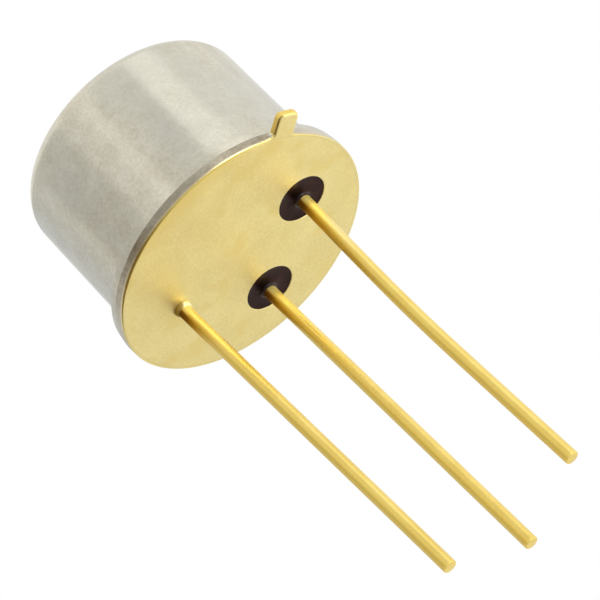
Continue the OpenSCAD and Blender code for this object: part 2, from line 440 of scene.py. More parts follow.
@dataclass(frozen=True)
class MatteGold(Finish):
    """Fine-grained gold plate, burnished on the rolled edge and worn to brown-grey on the rim, with
    painted shade in the crease inside the rim and along the tab's fold, and a painted glint beside
    the tab.

    A pair of reaches, heights or sides holds the values at which a mask is 0 and 1.
    """

    light: Colour = (0.970, 0.850, 0.415)
    dark: Colour = (0.830, 0.695, 0.300)
    amber: Colour = (0.860, 0.695, 0.250)
    # creased and folded are painted shade colours: the crease inside the rim and the tab's fold.
    painted_crease_shade: Colour = (0.77, 0.655, 0.300)
    tab_side: Colour = (0.88, 0.66, 0.19)
    painted_fold_shade: Colour = (0.26, 0.16, 0.035)
    burnished: Colour = (0.68, 0.51, 0.07)
    worn: Colour = (0.43, 0.385, 0.290)
    worn_dark: Colour = (0.17, 0.140, 0.102)
    handled: Colour = (0.78, 0.640, 0.33)
    clean: Colour = (0.72, 0.670, 0.54)
    bare: Colour = (0.93, 0.91, 0.86)
    worn_way: Point = (-0.087, -0.996, 0.0)
    crease_way: Point = (-0.705, -0.710, 0.0)
    # Centre of the painted glint on the rim, beside the tab's root.
    painted_glint_at: Point = (2.96, -3.50, 0.15)
    rim_start: Pair = (HEADER_RADIUS - 0.20, HEADER_RADIUS - 0.18)
    rim_end: Pair = (HEADER_RADIUS + 0.04, HEADER_RADIUS + 0.02)
    rim_height: Pair = (0.015, 0.048)
    tab_start: Pair = (HEADER_RADIUS + 0.04, HEADER_RADIUS + 0.10)
    crease_start: Pair = (HEADER_RADIUS - 0.13, HEADER_RADIUS - 0.10)
    crease_end: Pair = (HEADER_RADIUS - 0.05, HEADER_RADIUS - 0.09)
    roll_start: Pair = (HEADER_RADIUS - 0.40, HEADER_RADIUS - 0.35)
    roll_height: Pair = (0.002, 0.014)
    roll_side: Pair = (0.5, 2.5)
    burnish: float = 0.85
    roughness: float = 0.54
    rolled_roughness: float = 0.30
    cloud_per_mm: float = 0.5
    stain_per_mm: float = 0.8
    scuff_per_mm: float = 5.0
    streak_per_mm: float = 9.0
    drift_per_mm: float = 0.18
    speck_per_mm: float = 7.0
    grain_per_mm: float = 10.0
    grain_rise: float = 0.004

    def plate_layers(self) -> tuple[Layer, ...]:
        """Stains, the worn side's amber, painted shade in the crease inside the rim, the tab's sides,
        and painted shade along the tab's fold.

        Returns:
            The layers, lowest first.
        """
        crease = (Measure.REACH, *self.crease_start), (Measure.REACH, *self.crease_end)
        on_tab = (Measure.REACH, *self.tab_start)
        fold = (Measure.HEIGHT, 0.006, 0.022), (Measure.HEIGHT, 0.070, 0.035)
        return (
            Layer(self.amber, 0.5, ((Measure.STAINS, 0.52, 0.68),)),
            Layer(self.amber, 0.7, ((Measure.WORN_SIDE, 3.4, 4.3),)),
            # Painted shade along the line where the level underside turns into the rolled rim.
            Layer(self.painted_crease_shade, 0.45, crease),
            Layer(self.tab_side, 1.0, (on_tab, (Measure.HEIGHT, 0.01, 0.06))),
            # Painted shade along the fold between the tab's underside and its side towards
            # crease_way.
            Layer(self.painted_fold_shade, 0.8, (on_tab, (Measure.CREASE_SIDE, 0.27, 0.31), *fold)),
        )

    def rim_layers(self) -> tuple[Layer, ...]:
        """Handled lower edge, cleaner ends and middle of the worn side, scuffs, and a painted glint
        where the rim meets the tab.

        Returns:
            The layers, lowest first.
        """
        return (
            Layer(self.handled, 0.7, ((Measure.HEIGHT, 0.11, 0.04),)),
            Layer(self.clean, 0.9, ((Measure.WORN_SIDE, 3.75, 1.5),)),
            Layer(self.clean, 0.22, ((Measure.WORN_SIDE, 4.30, 4.56),)),
            Layer(self.bare, 0.12, ((Measure.SCUFFS, 0.60, 0.74),)),
            # Painted glint: the bare colour on a small spot beside the tab's root.
            Layer(self.bare, 0.9, ((Measure.PAINTED_GLINT_SPOT, 0.12, 0.03),)),
        )

    def measures(self, desk: Desk, place: Wire) -> dict[Measure, Wire]:
        """Works out what the layers are bounded by.

        Args:
            desk: Where the nodes go.
            place: Position in millimetres.

        Returns:
            A value for each measure.
        """
        flattened = desk.stretch(place, (1.0, 1.0, 2.0))
        return {
            Measure.HEIGHT: desk.height(place),
            Measure.REACH: desk.number("LENGTH", desk.flat(place)),
            Measure.WORN_SIDE: desk.number("DOT_PRODUCT", place, self.worn_way),
            Measure.CREASE_SIDE: desk.number("DOT_PRODUCT", place, self.crease_way),
            Measure.PAINTED_GLINT_SPOT: desk.number("DISTANCE", place, self.painted_glint_at),
            Measure.STAINS: desk.noise(place, self.stain_per_mm, detail=2.0),
            Measure.SCUFFS: desk.noise(flattened, self.scuff_per_mm, detail=2.0),
        }

    def wear(self, desk: Desk, place: Wire) -> Wire:
        """Brushed streaks, slow drift and specks: the share of the paler wear on the rim.

        Args:
            desk: Where the nodes go.
            place: Position in millimetres.

        Returns:
            The share.
        """
        drawn_out = desk.stretch(place, (0.35, 0.35, 1.0))
        streaks = desk.noise(drawn_out, self.streak_per_mm, detail=4.0, rough=0.6)
        drift = desk.noise(place, self.drift_per_mm, detail=1.0)
        specks = desk.noise(place, self.speck_per_mm, detail=4.0, rough=0.7)
        shade = streaks.step(0.34, 0.66) * 0.30 + drift.step(0.4, 0.6) * 0.15 + 0.30
        return shade + specks.step(0.36, 0.64) * 0.35

    def draw(self, desk: Desk) -> None:
        """Lays the worn rim over the plate and burnishes the rolled edge between them.

        Args:
            desk: Where the nodes go.
        """
        place = desk.place()
        measures = self.measures(desk, place)
        clouds = desk.noise(place, self.cloud_per_mm, detail=5.0, rough=0.6)
        grain = desk.noise(place, self.grain_per_mm, rough=0.65)
        tint = clouds.step(*CLOUD_SPREAD) * 0.5 + grain.step(*GRAIN_SPREAD) * 0.5
        plate = cover(desk.blend(tint, self.dark, self.light), measures, self.plate_layers())
        worn = desk.blend(self.wear(desk, place), self.worn_dark, self.worn)
        worn = cover(worn, measures, self.rim_layers())
        rim = mask(measures, (
            (Measure.HEIGHT, *self.rim_height),
            (Measure.REACH, *self.rim_start),
            (Measure.REACH, *self.rim_end),
        ))
        roll = mask(measures, (
            (Measure.HEIGHT, *self.roll_height),
            (Measure.REACH, *self.roll_start),
            (Measure.REACH, *self.rim_end),
            (Measure.WORN_SIDE, *self.roll_side),
        ))
        plate = desk.blend(roll * self.burnish, plate, self.burnished)
        roughness = roll * (self.rolled_roughness - self.roughness) + self.roughness
        desk.metal(desk.blend(rim, plate, worn), roughness, desk.bump(grain, self.grain_rise))


@dataclass(frozen=True)
class WireGold(Finish):
    """Gold plate on drawn wire: draw lines, a paler upper end, painted shade on one side that is
    amber and darkest near the root, and a painted highlight on the root's other side.
    """

    light: Colour = (0.97, 0.755, 0.235)
    dark: Colour = (0.89, 0.670, 0.180)
    pale: Colour = (0.97, 0.800, 0.340)
    # Painted shade: amber and shaded darken the side that faces amber_way, amber only near the root.
    amber: Colour = (0.73, 0.420, 0.030)
    shaded: Colour = (0.84, 0.600, 0.130)
    # root is a painted highlight: a pale colour on the root's side away from amber_way.
    root: Colour = (1.0, 0.84, 0.32)
    # The darkest painted shade, on the root's side that faces amber_way.
    root_painted_shade: Colour = (0.20, 0.075, 0.008)
    amber_way: Point = (-0.766, -0.643, 0.0)
    root_shade_facing: Pair = (0.70, 0.94)
    roughness: float = 0.29
    sheen: float = 0.08
    root_roughness: float = 0.3
    root_heights: Pair = (-0.6, -0.15)
    cloud_per_mm: float = 1.3
    line_per_mm: float = 7.0
    line_rise: float = 0.0001

    def layers(self) -> tuple[Layer, ...]:
        """Paler upper end, painted shade on one side, a painted highlight on the root's other side,
        and amber and darkest painted shade on the shaded side near the root.

        Returns:
            The layers, lowest first.
        """
        # Painted highlight on the root's side away from amber_way.
        root = (Measure.HEIGHT, -0.7, -0.2), (Measure.FACING, 0.9, 0.6)
        # Amber painted shade on the side facing amber_way, near the root.
        amber_shade_bands = (Measure.FACING, 0.58, 0.96), (Measure.HEIGHT, -2.4, -0.6)
        # Darkest painted shade at the root, on the side facing amber_way.
        root_shade_bands = (Measure.FACING, *self.root_shade_facing), (Measure.HEIGHT, -1.1, -0.25)
        return (
            Layer(self.pale, 0.85, ((Measure.HEIGHT, -3.4, -1.6),)),
            # Painted shade on the side facing amber_way, along the whole wire.
            Layer(self.shaded, 0.85, ((Measure.FACING, 0.45, 0.80),)),
            Layer(self.root, 1.0, root),
            Layer(self.amber, 0.9, amber_shade_bands),
            Layer(self.root_painted_shade, 0.9, root_shade_bands),
        )

    def draw(self, desk: Desk) -> None:
        """Draws noise out into lines along the wire, and roughens the root.

        Args:
            desk: Where the nodes go.
        """
        place = desk.place()
        drawn_out = desk.stretch(place, (1.0, 1.0, 0.1))
        lines = desk.noise(drawn_out, self.line_per_mm, detail=2.0)
        clouds = desk.noise(place, self.cloud_per_mm)
        tint = clouds.step(*CLOUD_SPREAD) * 0.8 + lines.step(*CLOUD_SPREAD) * 0.2
        normal = desk.node("ShaderNodeTexCoord", output="Normal")
        height = desk.height(place)
        measures = {
            Measure.HEIGHT: height,
            Measure.FACING: desk.number("DOT_PRODUCT", normal, self.amber_way),
        }
        base = cover(desk.blend(tint, self.dark, self.light), measures, self.layers())
        roughness = self.roughness + clouds * self.sheen
        roughness = roughness + height.step(*self.root_heights) * self.root_roughness
        desk.metal(base, roughness, desk.bump(lines, self.line_rise))


@dataclass(frozen=True)
class PlainMetal(Finish):
    """A small metal piece of one colour, with cloudy tint and sheen."""

    light: Colour
    dark: Colour
    roughness: float
    cloud_per_mm: float
    rise: float
    sheen: float = 0.08

    def draw(self, desk: Desk) -> None:
        """Varies the tint, the sheen and the surface by one noise.

        Args:
            desk: Where the nodes go.
        """
        clouds = desk.noise(desk.place(), self.cloud_per_mm, detail=4.0)
        base = desk.blend(clouds.step(*CLOUD_SPREAD), self.dark, self.light)
        roughness = self.roughness + clouds * self.sheen
        desk.metal(base, roughness, desk.bump(clouds, self.rise))


@dataclass(frozen=True)
class SealGlass(Finish):
    """Dark brown fused glass with fine bubbles under a smooth skin, and a painted dark reflection
    beside each lead.
    """

    light: Colour = (0.038, 0.015, 0.010)
    dark: Colour = (0.018, 0.006, 0.004)
    skin: Colour = (1.0, 0.62, 0.52)
    # Painted reflection: the near-black that the glass shows of each lead, beside its root.
    painted_dark_reflection: Colour = (0.004, 0.001, 0.001)
    collared: tuple[Point, Point] = ((*SOURCE_AT, 0.0), (*GATE_AT, 0.0))
    collar: Pair = (0.26, 0.31)
    collar_coat: float = 0.4
    dark_reflection_spots: tuple[Point, Point] = ((2.50, -0.42, 0.0), (-0.11, 2.12, 0.0))
    dark_reflection_reach: Pair = (0.14, 0.40)
    dark_reflection_roughness: float = 0.2
    cloud_per_mm: float = 2.2
    bubble_per_mm: float = 14.0
    roughness: float = 0.20
    sheen: float = 0.1
    specular: float = 0.09
    coat_roughness: float = 0.25
    rise: float = 0.006

    @staticmethod
    def about(flat: Wire, spots: tuple[Point, Point], reach: Pair) -> Wire:
        """Mask of the discs about two spots.

        Args:
            flat: Position at height 0.
            spots: The discs' centres.
            reach: Radii at which a disc is full and gone.

        Returns:
            The mask.
        """
        inner, outer = reach
        first, second = (flat.desk.number("DISTANCE", flat, spot) for spot in spots)
        return first.step(outer, inner) + second.step(outer, inner)

    def draw(self, desk: Desk) -> None:
        """Tints the glass by clouds and cells, polishes its collars and paints a dark reflection of
        each lead beside it.

        Args:
            desk: Where the nodes go.
        """
        place = desk.place()
        flat = desk.flat(place)
        clouds = desk.noise(place, self.cloud_per_mm, detail=4.0)
        inputs = {"Vector": place, "Scale": self.bubble_per_mm}
        bubbles = desk.node("ShaderNodeTexVoronoi", {}, inputs)
        tint = clouds.step(*CLOUD_SPREAD) * 0.8 + bubbles.step(0.25, 0.05) * 0.2
        # Painted dark reflection of each lead in the glass.
        painted_dark_reflection = self.about(flat, self.dark_reflection_spots, self.dark_reflection_reach)
        glass = desk.blend(tint, self.dark, self.light)
        desk.coat({
            "Base Color": desk.blend(painted_dark_reflection, glass, self.painted_dark_reflection),
            "Roughness": self.roughness + clouds * self.sheen + painted_dark_reflection * self.dark_reflection_roughness,
            "Specular IOR Level": self.specular,
            "Specular Tint": (*self.skin, 1.0),
            "Coat Weight": self.about(flat, self.collared, self.collar) * self.collar_coat,
            "Coat Roughness": self.coat_roughness,
            "Normal": desk.bump(clouds, self.rise),
        })


@dataclass(frozen=True)
class Silicon(Finish):
    """Polished silicon with the faint tint of its oxide."""

    light: Colour = (0.16, 0.17, 0.22)
    dark: Colour = (0.10, 0.11, 0.15)
    metallic: float = 0.6
    roughness: float = 0.12
    sheen: float = 0.06
    cloud_per_mm: float = 1.5

    def draw(self, desk: Desk) -> None:
        """Shifts the oxide's tint by slow clouds.

        Args:
            desk: Where the nodes go.
        """
        clouds = desk.noise(desk.place(), self.cloud_per_mm)
        desk.coat({
            "Base Color": desk.blend(clouds.step(*CLOUD_SPREAD), self.dark, self.light),
            "Metallic": self.metallic,
            "Roughness": self.roughness + clouds * self.sheen,
        })


@dataclass(frozen=True)
class FloorPaint(Finish):
    """Matt white paint that also glows a little for the camera and for shiny surfaces."""

    colour: Colour = (0.93, 0.93, 0.92)
    shade: float = 0.985
    roughness: float = 0.9
    cloud_per_mm: float = 0.05
    glow: float = 0.6

    def draw(self, desk: Desk) -> None:
        """Mixes the paint with a white glow, by the kind of ray that sees it.

        Args:
            desk: Where the nodes go.
        """
        clouds = desk.noise(desk.place(), self.cloud_per_mm, detail=2.0)
        darker = tuple(self.shade * part for part in self.colour)
        base = desk.blend(clouds, darker, self.colour)
        inputs = {"Base Color": base, "Roughness": self.roughness}
        paint = desk.node("ShaderNodeBsdfPrincipled", {}, inputs)
        glow = desk.node("ShaderNodeEmission", {}, {"Strength": 1.0})
        inputs = {0: desk.seen() * self.glow, 1: paint, 2: glow}
        desk.close(desk.node("ShaderNodeMixShader", {}, inputs))


@dataclass(frozen=True)
class PanelGlow(Finish):
    """Even glow of a studio panel: a shiny surface shows it at just this colour."""

    colour: Colour
    strength: float

    def draw(self, desk: Desk) -> None:
        """Sets one even emission."""
        inputs = {"Color": (*self.colour, 1.0), "Strength": self.strength}
        desk.close(desk.node("ShaderNodeEmission", {}, inputs))


# ---------------------------------------------------------------- mesh building

# The triangulation's number for "only what lies inside the outlines", and its merging distance.
ONLY_INSIDE = 1
TRIANGLE_GAP = 1e-7


@dataclass
class Patch:
    """A piece of surface: vertices in millimetres and faces as rows of vertex numbers."""

    points: np.ndarray
    faces: list[np.ndarray]


def arc(centre: Pair, radii: Pair, span: Pair, count: int) -> np.ndarray:
    """Points of an elliptical arc: centre plus radii times the cosine and sine of the angle.

    Args:
        centre: Centre of the ellipse.
        radii: Its two half-axes.
        span: First and last angle, in degrees.
        count: Number of points.

    Returns:
        Points as rows of two numbers.
    """
    angle = np.radians(np.linspace(*span, count))
    return np.stack([centre[0] + radii[0] * np.cos(angle), centre[1] + radii[1] * np.sin(angle)], 1)


def line(start: Pair, end: Pair, count: int) -> np.ndarray:
    """Points at even shares of the way from start to end, without the end itself."""
    share = np.linspace(0.0, 1.0, count, endpoint=False)[:, None]
    return np.array(start) * (1.0 - share) + np.array(end) * share


def turn(angle: float) -> np.ndarray:
    """Matrix that turns rows of points counter-clockwise: the cosines and sines of the angle."""
    cosine, sine = math.cos(math.radians(angle)), math.sin(math.radians(angle))
    return np.array([[cosine, sine], [-sine, cosine]])


def circle(radius: float, centre: Pair, steps: int) -> np.ndarray:
    """Points of a full circle: centre plus radius times the cosine and sine of the angle."""
    return arc(centre, (radius, radius), (0.0, 360.0), steps + 1)[:-1]


def grid_faces(rows: int, columns: int, closed: bool) -> np.ndarray:
    """Quads of a grid whose points are numbered row by row.

    Args:
        rows: Number of rows.
        columns: Number of columns.
        closed: Whether the last column joins the first.

    Returns:
        One row of four vertex numbers for each quad.
    """
    row = np.arange(rows - 1)[:, None] * columns
    column = np.arange(columns if closed else columns - 1)[None, :]
    after = (column + 1) % columns
    corners = [row + column, row + after, row + columns + after, row + columns + column]
    return np.stack([corner.ravel() for corner in corners], 1)


def sheet(points: np.ndarray, closed: bool = True) -> Patch:
    """Grid of quads through an array of points of shape rows by columns by three."""
    rows, columns = points.shape[:2]
    return Patch(points.reshape(-1, 3), [grid_faces(rows, columns, closed)])


def turned(profile: np.ndarray, steps: int, centre: Pair = (0.0, 0.0)) -> Patch:
    """Surface of revolution about an upright axis.

    A profile point (r, z) goes to the axis plus r times (cos a, sin a), at height z.

    Args:
        profile: Rows of radius and height.
        steps: Number of steps round the axis.
        centre: Where the axis stands.

    Returns:
        The surface.
    """
    ring = circle(1.0, (0.0, 0.0), steps)
    across = profile[:, None, 0, None] * ring[None] + np.array(centre)
    height = np.broadcast_to(profile[:, None, 1, None], (*across.shape[:2], 1))
    return sheet(np.concatenate([across, height], 2))


def level_fill(outline: np.ndarray, holes: list[np.ndarray], height: float) -> Patch:
    """Triangles that fill a level outline round its round holes.

    A triangle whose three corners all lie on one hole's ring fills that hole and is dropped.

    Args:
        outline: Closed outline as rows of x and y.
        holes: Closed outlines that stay open.
        height: Height of the face.

    Returns:
        The filled face.
    """
    loops = [outline, *holes]
    starts = np.cumsum([0, *(len(loop) for loop in loops)])
    numbers = [np.arange(first, last) for first, last in zip(starts[:-1], starts[1:], strict=True)]
    edges = np.concatenate([np.stack([row, np.roll(row, -1)], 1) for row in numbers]).tolist()
    corners = [Vector(point) for point in np.concatenate(loops)]
    flat, _, faces, *_ = delaunay_2d_cdt(corners, edges, [], ONLY_INSIDE, TRIANGLE_GAP)
    points = np.array([tuple(point) for point in flat])
    rows = np.array([face for face in faces if len(face) == 3])
    keep = np.ones(len(rows), bool)
    for hole in holes:
        centre = hole.mean(0)
        reach = np.linalg.norm(hole - centre, axis=1).mean()
        inside = np.linalg.norm(points - centre, axis=1) < reach + MERGE_GAP
        keep &= ~inside[rows].all(1)
    tall = np.concatenate([points, np.full((len(points), 1), height)], 1)
    return Patch(tall, [rows[keep]])


def lay(name: str, patches: list[Patch], finish: Finish, slot: Slot, *nodes: str) -> None:
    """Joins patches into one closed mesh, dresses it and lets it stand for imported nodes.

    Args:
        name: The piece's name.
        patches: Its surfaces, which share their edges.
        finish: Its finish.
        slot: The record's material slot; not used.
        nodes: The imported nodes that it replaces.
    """
    starts = np.cumsum([0, *(len(patch.points) for patch in patches)])
    points = np.concatenate([patch.points for patch in patches]) * MM
    faces = [
        row
        for first, patch in zip(starts[:-1], patches, strict=True)
        for block in patch.faces
        for row in (block + first).tolist()
    ]
    mesh = bpy.data.meshes.new(name)
    mesh.from_pydata(points.tolist(), [], faces)
    work = bmesh.new()
    work.from_mesh(mesh)
    bmesh.ops.remove_doubles(work, verts=work.verts, dist=MERGE_GAP * MM)
    bmesh.ops.dissolve_degenerate(work, edges=work.edges, dist=SLIVER * MM)
    bmesh.ops.recalc_face_normals(work, faces=work.faces)
    work.to_mesh(mesh)
    open_edges = sum(1 for edge in work.edges if len(edge.link_faces) != 2)
    work.free()
    mesh.shade_smooth()
    mesh.set_sharp_from_angle(angle=math.radians(SHARP_EDGE))
    piece = bpy.data.objects.new(name, mesh)
    bpy.context.scene.collection.objects.link(piece)
    mesh.materials.append(finish.material())
    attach(piece, BODY)
    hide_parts(*nodes)
    log.info("%s: %d faces, %d open edges", name, len(mesh.polygons), open_edges)


def dress(node: str, finish: Finish) -> None:
    """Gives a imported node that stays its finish.

    Args:
        node: The node's name.
        finish: Its finish.
    """
    for material_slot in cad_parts[node].material_slots:
        material_slot.material = finish.material()
    log.info("%s: dressed with %s", node, finish.name)


# ---------------------------------------------------------------- sub-assemblies


@dataclass
class Cap:
    """Drawn can with its rounded crown and its out-turned flange."""

    height: float = 6.10
    radius: float = CAP_RADIUS
    gauge: float = 0.28
    crown: float = 0.45
    flange_radius: float = HEADER_RADIUS - 0.03
    flange_bottom: float = PLATE_THICKNESS
    foot_bend: float = 0.16
    upper_edge: float = 0.005
    lower_edge: float = 0.01
    crown_gap: float = 0.2
    foot_gap: float = 0.1
    steps: int = 256
    finish: Finish = SatinNickel("satin_nickel_plate")

    def profile(self) -> np.ndarray:
        """Outline of the sheet, from the middle of the top round the flange to the middle inside.

        Each bend is a quarter circle, and the inner bends share the centres of the outer ones.

        Returns:
            Rows of radius and height.
        """
        top, bottom, edge = self.height, self.flange_bottom, self.flange_radius
        shoulder = (self.radius - self.crown, top - self.crown)
        foot = (self.radius + self.foot_bend, bottom + self.gauge + self.foot_bend)
        wall_foot = foot[1] + self.foot_gap
        inner_radius = self.radius - self.gauge
        inner_crown = self.crown - self.gauge
        wide = self.foot_bend + self.gauge
        return np.concatenate([
            line((0.0, top), (shoulder[0], top), 16),
            arc(shoulder, (self.crown, self.crown), (90, 0), 20),
            line((self.radius, shoulder[1] - self.crown_gap), (self.radius, wall_foot), 12),
            arc(foot, (self.foot_bend, self.foot_bend), (180, 270), 12),
            arc((edge - self.upper_edge, bottom + self.gauge - self.upper_edge),
                (self.upper_edge, self.upper_edge), (90, 0), 2),
            arc((edge - self.lower_edge, bottom + self.lower_edge),
                (self.lower_edge, self.lower_edge), (0, -90), 12),
            arc(foot, (wide, wide), (270, 180), 12),
            line((inner_radius, wall_foot), (inner_radius, shoulder[1]), 8),
            arc(shoulder, (inner_crown, inner_crown), (0, 90), 8),
            np.array([[0.0, top - self.gauge]]),
        ])

    def build(self) -> None:
        """Turns the outline about the can's axis."""
        lay("cap_shell", [turned(self.profile(), self.steps)], self.finish, Slot.NICKEL, "cap")


@dataclass
class Header:
    """Base plate with its rolled rim, its tab, the two seal holes, the platform and the weld dish."""

    radius: float = HEADER_RADIUS
    thickness: float = PLATE_THICKNESS
    roll_start: float = 0.245
    roll_least: float = 0.01
    roll_side: float = -100.0
    roll_power: float = 1.5
    roll: float = 0.155
    roll_turn: float = 65.0
    guard: float = 0.03
    shoulder: float = 0.012
    platform_radius: float = 3.60
    platform_height: float = 1.25
    platform_chamfer: float = 0.12
    tab_width: float = 0.81
    tab_length: float = 0.80
    tab_angle: float = -44.8
    tab_slant: float = -3.0
    tab_slant_start: float = 0.1
    tab_corners: Pair = (0.19, 0.26)
    tab_root: float = 0.10
    tab_roll: float = 0.10
    tab_shoulder: float = 0.09
    hole_radius: float = HOLE_RADIUS
    hole_break: float = 0.03
    holes: tuple[Pair, ...] = (SOURCE_AT, GATE_HOLE_AT)
    dish_at: Pair = DRAIN_AT
    dish_radius: float = DISH_RADIUS
    dish_depth: float = DISH_DEPTH
    steps: int = 360
    hole_steps: int = 96
    dish_rows: int = 10
    soft_points: int = 9
    finish: Finish = MatteGold("matte_gold_plate")

    def outline(self) -> tuple[np.ndarray, np.ndarray, np.ndarray]:
        """Plan of the plate with its tab, walked counter-clockwise from the tab's far side.

        The tab's corners are arcs, and its roots are small arcs that turn the other way.

        Returns:
            Points, outward normals, and the share of the tab (1 on the tab, 0 on the round rim).
        """
        tab = self.tab()
        after, before = np.degrees(np.arctan2(tab[[-1, 0], 1], tab[[-1, 0], 0]))
        round_rim = (self.radius, self.radius)
        rim = arc((0.0, 0.0), round_rim, (after, before + 360.0), self.steps)[1:-1]
        share = np.concatenate([np.ones(len(tab)), np.zeros(len(rim))])
        return self._finish_outline(np.concatenate([tab, rim]), share)

    def tab(self) -> np.ndarray:
        """Plan of the tab on +X, slanted about the middle of its root from a little way out.

        Returns:
            Points from root to root.
        """
        half, root = self.tab_width / 2, self.tab_root
        near, far = self.tab_corners
        start = math.sqrt((self.radius + root) ** 2 - (half + root) ** 2)
        end = self.radius + self.tab_length
        fan = math.degrees(math.atan2(half + root, start))
        plan = np.concatenate([
            arc((start, -half - root), (root, root), (180 - fan, 90), 10),
            line((start, -half), (end - near, -half), 14)[1:],
            arc((end - near, near - half), (near, near), (-90, 0), 12),
            line((end, near - half), (end, half - far), 10)[1:],
            arc((end - far, half - far), (far, far), (0, 90), 16),
            line((start, half), (end - far, half), 14)[:0:-1],
            arc((start, half + root), (root, root), (270, 180 + fan), 10),
        ])
        pivot = np.array([self.radius, 0.0])
        lean = np.clip((plan[:, :1] - self.radius) / self.tab_slant_start, 0.0, 1.0)
        return plan * (1 - lean) + ((plan - pivot) @ turn(self.tab_slant) + pivot) * lean

    def _finish_outline(
        self, plan: np.ndarray, share: np.ndarray
    ) -> tuple[np.ndarray, np.ndarray, np.ndarray]:
        """Turns the plan to the tab's direction and works out its normals.

        A normal is the step from the point before to the point after, turned clockwise by a
        right angle.

        Args:
            plan: Points of the outline with the tab on +X.
            share: Share of the tab at each point.

        Returns:
            Points, outward normals and the softened share of the tab.
        """
        plan = plan @ turn(self.tab_angle)
        step = np.roll(plan, -1, 0) - np.roll(plan, 1, 0)
        normal = np.stack([step[:, 1], -step[:, 0]], 1)
        normal /= np.linalg.norm(normal, axis=1, keepdims=True)
        kernel = np.hanning(self.soft_points) / np.hanning(self.soft_points).sum()
        wide = np.pad(share, self.soft_points // 2, "wrap")
        return plan, normal, np.convolve(wide, kernel, "valid")

    def edge(self, start: float, roll: float, swing: float, shoulder: float) -> np.ndarray:
        """Section of the plate's edge, as rows of distance in from the outline and height.

        A round roll of the given radius starts on the underside, turns by the given angle, goes
        on in a straight line to the outline, and ends in a round shoulder at the top.

        Args:
            start: Distance from the outline at which the roll starts.
            roll: Radius of the roll.
            swing: Angle that the roll turns, in degrees.
            shoulder: Radius of the shoulder.

        Returns:
            The section, from the underside to the top.
        """
        rolled = arc((start, roll), (-roll, roll), (-90.0, swing - 90.0), 14)
        over = arc((shoulder, self.thickness - shoulder), (-shoulder, shoulder), (0.0, 90.0), 6)
        return np.concatenate([rolled, line(tuple(rolled[-1]), tuple(over[0]), 8)[1:], over])

    def rim(self) -> tuple[Patch, np.ndarray, np.ndarray]:
        """Carries the edge's section along the outline, with a section of its own on the tab.

        Each ring is the outline moved in by the section's distance, at the section's height. The
        roll is widest on one side of the plate and narrows from there with the cosine of the
        angle, to a power. A level ring inside it keeps the underside's shading flat.

        Returns:
            The surface, the inner edge of the underside and the inner edge of the flange's top.
        """
        plan, normal, tab = self.outline()
        round_edge = self.edge(self.roll_start, self.roll, self.roll_turn, self.shoulder)
        near = plan @ turn(self.roll_side)[0] / self.radius
        least = self.roll_least / self.roll_start
        width = least + (1.0 - least) * np.clip(near, 0.0, 1.0) ** self.roll_power
        round_edge = np.stack([np.outer(round_edge[:, 0], width),
                               np.outer(round_edge[:, 1], np.ones(len(plan)))], 2)
        tab_edge = self.edge(self.tab_roll, self.tab_roll, 90.0, self.tab_shoulder)
        share = tab[None, :, None]
        section = round_edge * (1 - share) + tab_edge[:, None] * share
        section = np.concatenate([section[:1] + np.array([self.guard, 0.0]), section])
        flat = plan[None] - normal[None] * section[..., :1]
        points = np.concatenate([flat, section[..., 1:]], 2)
        return sheet(points), flat[0], flat[-1]

    def hole(self, at: Pair) -> Patch:
        """Wall of a seal hole: a quarter-circle break, then straight up to the platform's top.

        Args:
            at: The hole's axis.

        Returns:
            The wall.
        """
        wide = self.hole_radius + self.hole_break
        profile = np.concatenate([
            arc((wide, self.hole_break), (self.hole_break, self.hole_break), (270, 180), 8),
            np.array([[self.hole_radius, self.platform_height]]),
        ])
        return turned(profile, self.hole_steps, at)

    def dish(self) -> Patch:
        """Shallow dish round the drain weld: its depth falls with the square of the radius.

        Returns:
            The dish.
        """
        share = np.linspace(0.0, 1.0, self.dish_rows)
        profile = np.stack([self.dish_radius * share, self.dish_depth * (1 - share**2)], 1)
        return turned(profile, self.hole_steps, self.dish_at)

    def build(self) -> None:
        """Joins the rim, the two level faces, the platform, the holes and the dish."""
        rim, under, over = self.rim()
        wide = self.hole_radius + self.hole_break
        mouths = [circle(wide, at, self.hole_steps) for at in self.holes]
        mouths.append(circle(self.dish_radius, self.dish_at, self.hole_steps))
        throats = [circle(self.hole_radius, at, self.hole_steps) for at in self.holes]
        foot = circle(self.platform_radius, (0.0, 0.0), self.steps)
        inner = self.platform_radius - self.platform_chamfer
        wall = np.array([
            [self.platform_radius, self.thickness],
            [self.platform_radius, self.platform_height - self.platform_chamfer],
            [inner, self.platform_height],
        ])
        patches = [
            rim,
            level_fill(under, mouths, 0.0),
            level_fill(over, [foot], self.thickness),
            turned(wall, self.steps),
            level_fill(circle(inner, (0.0, 0.0), self.steps), throats, self.platform_height),
            self.dish(),
            *(self.hole(at) for at in self.holes),
        ]
        lay("header_plate", patches, self.finish, Slot.GOLD, "header")


